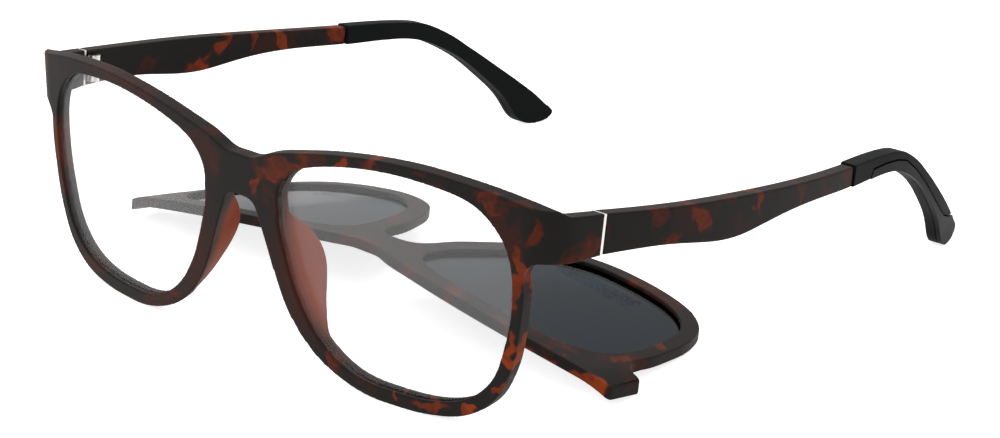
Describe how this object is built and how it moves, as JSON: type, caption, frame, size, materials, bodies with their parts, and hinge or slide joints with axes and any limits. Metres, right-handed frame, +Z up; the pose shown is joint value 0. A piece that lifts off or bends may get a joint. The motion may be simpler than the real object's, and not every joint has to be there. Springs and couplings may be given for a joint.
{
  "type": "eyeglasses with magnetic sun clip",
  "caption": "Wayfarer-shaped plastic eyeglass frame with folding temples, integral nose pads and demonstration lenses, with a magnetic polarised sun clip lying behind it.",
  "frame": {"origin": "middle of the whole on the surface that it rests on", "axes": "+Z up, +X towards the wearer's left, +Y from the front towards the temple tips"},
  "size_m": [0.144, 0.138, 0.0435],
  "materials": {
    "tortoise_plastic": "matte, soft-touch, dark brown with orange-red tortoiseshell patches",
    "clip_plastic": "matte, soft-touch, grey-brown with a few tortoiseshell patches",
    "clear_lens": "clear, glossy",
    "sun_lens": "grey tinted, glossy",
    "clear_film": "clear film label without lettering",
    "tip_rubber": "matte black",
    "inlay_rubber": "satin black",
    "hinge_metal": "brushed nickel silver",
    "screw_steel": "turned steel",
    "magnet": "nickel plated"
  },
  "bodies": {
    "front": {"front_frame": "tortoise_plastic", "demo_lens_left": "clear_lens", "demo_lens_right": "clear_lens", "frame_magnet_left": "magnet", "frame_magnet_right": "magnet", "hinge_front_leaf_left": "hinge_metal", "hinge_front_leaf_right": "hinge_metal"},
    "temple_left": {"temple_left": "tortoise_plastic", "hinge_temple_leaf_left": "hinge_metal", "hinge_screw_left": "screw_steel", "temple_tip_left": "tip_rubber", "tip_inlay_left": "inlay_rubber"},
    "temple_right": {"temple_right": "tortoise_plastic", "hinge_temple_leaf_right": "hinge_metal", "hinge_screw_right": "screw_steel", "temple_tip_right": "tip_rubber", "tip_inlay_right": "inlay_rubber"},
    "clip": {"clip_frame": "clip_plastic", "clip_lens_left": "sun_lens", "clip_lens_right": "sun_lens", "clip_film_left": "clear_film", "clip_film_right": "clear_film", "clip_magnet_left": "magnet", "clip_magnet_right": "magnet"}
  },
  "joints": [
    {"name": "temple_hinge_left", "type": "hinge", "parent": "front", "child": "temple_left", "pos_m": [0.06616, -0.04928, 0.035], "axis": [0, 0.1305, 0.9914], "range_deg": [0, 88]},
    {"name": "temple_hinge_right", "type": "hinge", "parent": "front", "child": "temple_right", "pos_m": [-0.06616, -0.04928, 0.035], "axis": [0, -0.1305, -0.9914], "range_deg": [0, 80]},
    {"name": "clip_slide", "type": "slide", "parent": "front", "child": "clip", "axis": [1, 0, 0], "range_m": [0, 0.15]}
  ]
}
